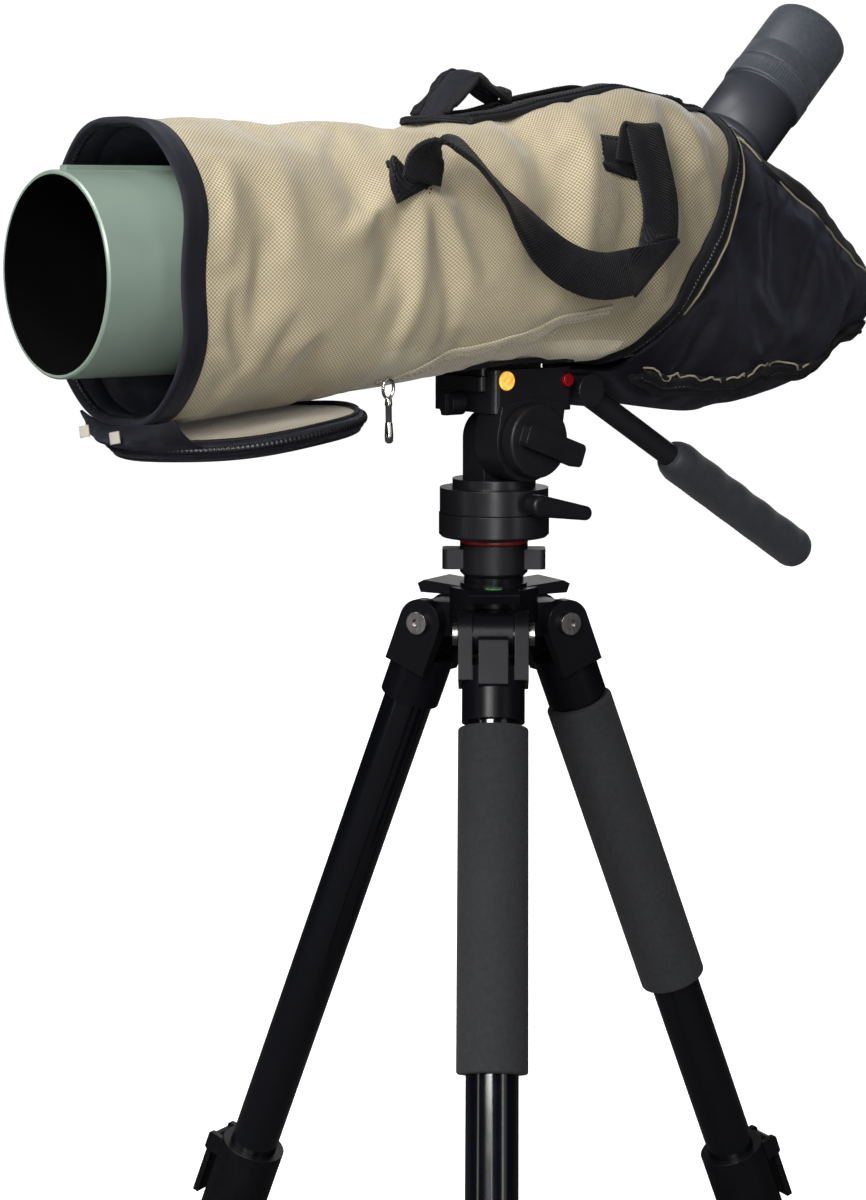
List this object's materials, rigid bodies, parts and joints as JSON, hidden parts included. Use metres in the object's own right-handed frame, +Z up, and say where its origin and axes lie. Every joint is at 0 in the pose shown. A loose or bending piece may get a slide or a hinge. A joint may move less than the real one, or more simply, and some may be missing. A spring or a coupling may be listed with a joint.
{
  "type": "spotting scope",
  "caption": "Angled zoom spotting scope in an open soft case, standing on a two-way fluid head and a folding tripod.",
  "frame": {"origin": "on the floor, on the tripod's centre axis", "axes": "+Z up along the centre column; the optical axis runs along Y and the objective faces -Y; +X is the side with the carrying strap and the tilt lock knob"},
  "size_m": [0.3828, 0.568, 0.7745],
  "materials": {
    "sage_paint": "painted, satin metallic",
    "optical_glass": "polished, coated",
    "knob_rubber": "ribbed, matte",
    "knob_plastic": "moulded, fine grain",
    "eyepiece_black": "anodised, satin",
    "eyecup_rubber": "smooth, matte",
    "tan_fabric": "coarse woven nylon",
    "black_fabric": "smooth lining cloth",
    "black_webbing": "woven webbing and zip tape",
    "bright_metal": "plated",
    "head_metal": "painted, semi-gloss",
    "handle_metal": "painted, semi-gloss",
    "steel": "plated",
    "red_plastic": "glossy",
    "amber_level": "clear, glossy",
    "green_level": "clear, glossy",
    "grip_rubber": "soft, matte",
    "leg_metal": "anodised, gloss black",
    "cast_black": "painted casting, semi-gloss",
    "clamp_plastic": "moulded, semi-gloss",
    "foot_rubber": "matte",
    "leg_foam": "closed-cell foam, matte"
  },
  "bodies": {
    "spider": {"spider": "head_metal", "spider_level": "green_level", "leg_bolts": "steel"},
    "column": {"center_column": "leg_metal", "pan_base": "head_metal"},
    "column_lock": {"column_lock_collar": "knob_plastic"},
    "pan": {"pan_body": "head_metal"},
    "pan_lock": {"pan_lock_lever": "knob_plastic"},
    "tilt_lock": {"tilt_lock_knob": "knob_plastic"},
    "platform": {"tilt_platform": "head_metal", "head_level": "amber_level"},
    "plate_lock": {"plate_lock_knob": "knob_plastic"},
    "button": {"safety_button": "red_plastic"},
    "handle": {"handle_rod": "handle_metal", "handle_grip": "grip_rubber"},
    "plate": {"quick_release_plate": "head_metal", "plate_screw": "steel", "mount_collar": "sage_paint"},
    "collar_lock": {"collar_lock_knob": "knob_plastic"},
    "scope": {"main_tube": "sage_paint", "objective_lens": "optical_glass", "prism_housing": "sage_paint", "prism": "optical_glass", "eyepiece_barrel": "eyepiece_black", "eye_lens": "optical_glass", "case_shell": "tan_fabric", "case_zippers": "black_webbing", "case_rear_hood": "black_fabric", "carry_strap": "black_webbing"},
    "shield": {"dew_shield": "sage_paint"},
    "focuser": {"focus_lens": "optical_glass"},
    "coarse_knob": {"coarse_focus_knob": "knob_rubber"},
    "fine_knob": {"fine_focus_knob": "knob_rubber"},
    "lock_ring": {"eyepiece_lock_ring": "eyepiece_black"},
    "zoom": {"zoom_ring": "eyepiece_black"},
    "zoom_optics": {"zoom_lens": "optical_glass"},
    "eyecup": {"eyecup": "eyecup_rubber"},
    "front_cover": {"case_front_cover": "tan_fabric"},
    "focus_flap": {"case_focus_flap": "black_fabric"},
    "zip_pull": {"zip_pull": "bright_metal"},
    "front_leg": {"front_leg_casting": "cast_black", "front_leg_tube": "leg_metal", "front_leg_clamp": "clamp_plastic", "front_leg_foam": "leg_foam"},
    "front_lever": {"front_lock_lever": "clamp_plastic"},
    "front_lower": {"front_lower_tube": "leg_metal", "front_rubber_foot": "foot_rubber"},
    "right_leg": {"right_leg_casting": "cast_black", "right_leg_tube": "leg_metal", "right_leg_clamp": "clamp_plastic", "right_leg_foam": "leg_foam"},
    "right_lever": {"right_lock_lever": "clamp_plastic"},
    "right_lower": {"right_lower_tube": "leg_metal", "right_rubber_foot": "foot_rubber"},
    "left_leg": {"left_leg_casting": "cast_black", "left_leg_tube": "leg_metal", "left_leg_clamp": "clamp_plastic"},
    "left_lever": {"left_lock_lever": "clamp_plastic"},
    "left_lower": {"left_lower_tube": "leg_metal", "left_rubber_foot": "foot_rubber"}
  },
  "joints": [
    {"name": "column_slide", "type": "slide", "parent": "spider", "child": "column", "axis": [0, 0, 1], "range_m": [0, 0.17]},
    {"name": "column_lock_turn", "type": "hinge", "parent": "spider", "child": "column_lock", "pos_m": [0, 0, 0.464], "axis": [0, 0, 1], "range_deg": [0, 60]},
    {"name": "pan", "type": "hinge", "parent": "column", "child": "pan", "pos_m": [0, 0, 0.4895], "axis": [0, 0, 1], "continuous": true},
    {"name": "pan_lock_turn", "type": "hinge", "parent": "pan", "child": "pan_lock", "pos_m": [0.033, 0, 0.496], "axis": [1, 0, 0], "range_deg": [-35, 15]},
    {"name": "tilt", "type": "hinge", "parent": "pan", "child": "platform", "pos_m": [0, 0, 0.531], "axis": [1, 0, 0], "range_deg": [-30, 35]},
    {"name": "tilt_lock_turn", "type": "hinge", "parent": "pan", "child": "tilt_lock", "pos_m": [0.035, 0, 0.531], "axis": [1, 0, 0], "range_deg": [-90, 90]},
    {"name": "plate_lock_turn", "type": "hinge", "parent": "platform", "child": "plate_lock", "pos_m": [0, -0.026, 0.5508], "axis": [0, -1, 0], "range_deg": [0, 180]},
    {"name": "button_press", "type": "slide", "parent": "platform", "child": "button", "axis": [-1, 0, 0], "range_m": [0, 0.0018], "stiffness_N_per_m": 400},
    {"name": "handle_angle", "type": "hinge", "parent": "platform", "child": "handle", "pos_m": [0.02, 0.046, 0.556], "axis": [-1, 0, 0], "range_deg": [0, 40]},
    {"name": "plate_slide", "type": "slide", "parent": "platform", "child": "plate", "axis": [0, 1, 0], "range_m": [-0.008, 0.008]},
    {"name": "scope_roll", "type": "hinge", "parent": "plate", "child": "scope", "pos_m": [0, 0, 0.624], "axis": [0, 1, 0], "range_deg": [-4, 4]},
    {"name": "collar_lock_turn", "type": "hinge", "parent": "plate", "child": "collar_lock", "pos_m": [-0.05, 0, 0.624], "axis": [-1, 0, 0], "range_deg": [0, 180]},
    {"name": "dew_shield_slide", "type": "slide", "parent": "scope", "child": "shield", "axis": [0, 1, 0], "range_m": [0, 0.05]},
    {"name": "coarse_focus", "type": "hinge", "parent": "scope", "child": "coarse_knob", "pos_m": [0, 0.018, 0.686], "axis": [0, 1, 0], "range_deg": [-360, 360]},
    {"name": "focus_travel", "type": "slide", "parent": "scope", "child": "focuser", "axis": [0, 1, 0], "range_m": [-0.0119, 0.0119]},
    {"name": "fine_focus", "type": "hinge", "parent": "scope", "child": "fine_knob", "pos_m": [0, 0.003, 0.686], "axis": [0, 1, 0], "range_deg": [-360, 360]},
    {"name": "lock_ring_turn", "type": "hinge", "parent": "scope", "child": "lock_ring", "pos_m": [0, 0.107, 0.624], "axis": [0, 0.7071, 0.7071], "range_deg": [0, 45]},
    {"name": "zoom_turn", "type": "hinge", "parent": "scope", "child": "zoom", "pos_m": [0, 0.107, 0.624], "axis": [0, 0.7071, 0.7071], "range_deg": [0, 110]},
    {"name": "zoom_travel", "type": "slide", "parent": "scope", "child": "zoom_optics", "axis": [0, 0.7071, 0.7071], "range_m": [0, 0.0201]},
    {"name": "eyecup_slide", "type": "slide", "parent": "scope", "child": "eyecup", "axis": [0, 0.7071, 0.7071], "range_m": [0, 0.008]},
    {"name": "front_cover_swing", "type": "hinge", "parent": "scope", "child": "front_cover", "pos_m": [0, -0.24, 0.545], "axis": [1, 0, 0], "range_deg": [-170, 0]},
    {"name": "focus_flap_swing", "type": "hinge", "parent": "scope", "child": "focus_flap", "pos_m": [-0.018, 0, 0.706], "axis": [0, 1, 0], "range_deg": [-10, 60]},
    {"name": "zip_pull_swing", "type": "hinge", "parent": "scope", "child": "zip_pull", "pos_m": [0.04, -0.104, 0.564], "axis": [1, 0, 0], "range_deg": [-10, 40]},
    {"name": "front_leg_spread", "type": "hinge", "parent": "spider", "child": "front_leg", "pos_m": [0.02855, -0.02354, 0.427], "axis": [-0.6361, -0.7716, 0], "range_deg": [-21.3, 40]},
    {"name": "front_lever_turn", "type": "hinge", "parent": "front_leg", "child": "front_lever", "pos_m": [0.14697, -0.12115, 0.09615], "axis": [-0.6361, -0.7716, 0], "range_deg": [0, 100]},
    {"name": "front_leg_extend", "type": "slide", "parent": "front_leg", "child": "front_lower", "axis": [0.2803, -0.2311, -0.9317], "range_m": [0, 0.28]},
    {"name": "right_leg_spread", "type": "hinge", "parent": "spider", "child": "right_leg", "pos_m": [0.00611, 0.03649, 0.427], "axis": [0.9863, -0.165, 0], "range_deg": [-21.3, 40]},
    {"name": "right_lever_turn", "type": "hinge", "parent": "right_leg", "child": "right_lever", "pos_m": [0.03144, 0.18785, 0.09615], "axis": [0.9863, -0.165, 0], "range_deg": [0, 100]},
    {"name": "right_leg_extend", "type": "slide", "parent": "right_leg", "child": "right_lower", "axis": [0.06, 0.3583, -0.9317], "range_m": [0, 0.28]},
    {"name": "left_leg_spread", "type": "hinge", "parent": "spider", "child": "left_leg", "pos_m": [-0.03466, -0.01296, 0.427], "axis": [-0.3502, 0.9367, 0], "range_deg": [-21.3, 40]},
    {"name": "left_lever_turn", "type": "hinge", "parent": "left_leg", "child": "left_lever", "pos_m": [-0.1784, -0.0667, 0.09615], "axis": [-0.3502, 0.9367, 0], "range_deg": [0, 100]},
    {"name": "left_leg_extend", "type": "slide", "parent": "left_leg", "child": "left_lower", "axis": [-0.3402, -0.1272, -0.9317], "range_m": [0, 0.28]}
  ],
  "couplings": [
    {"joint": "coarse_focus", "follows": "focus_travel", "rad_per_m": 523.6},
    {"joint": "zoom_travel", "follows": "zoom_turn", "m_per_rad": 0.010417}
  ]
}
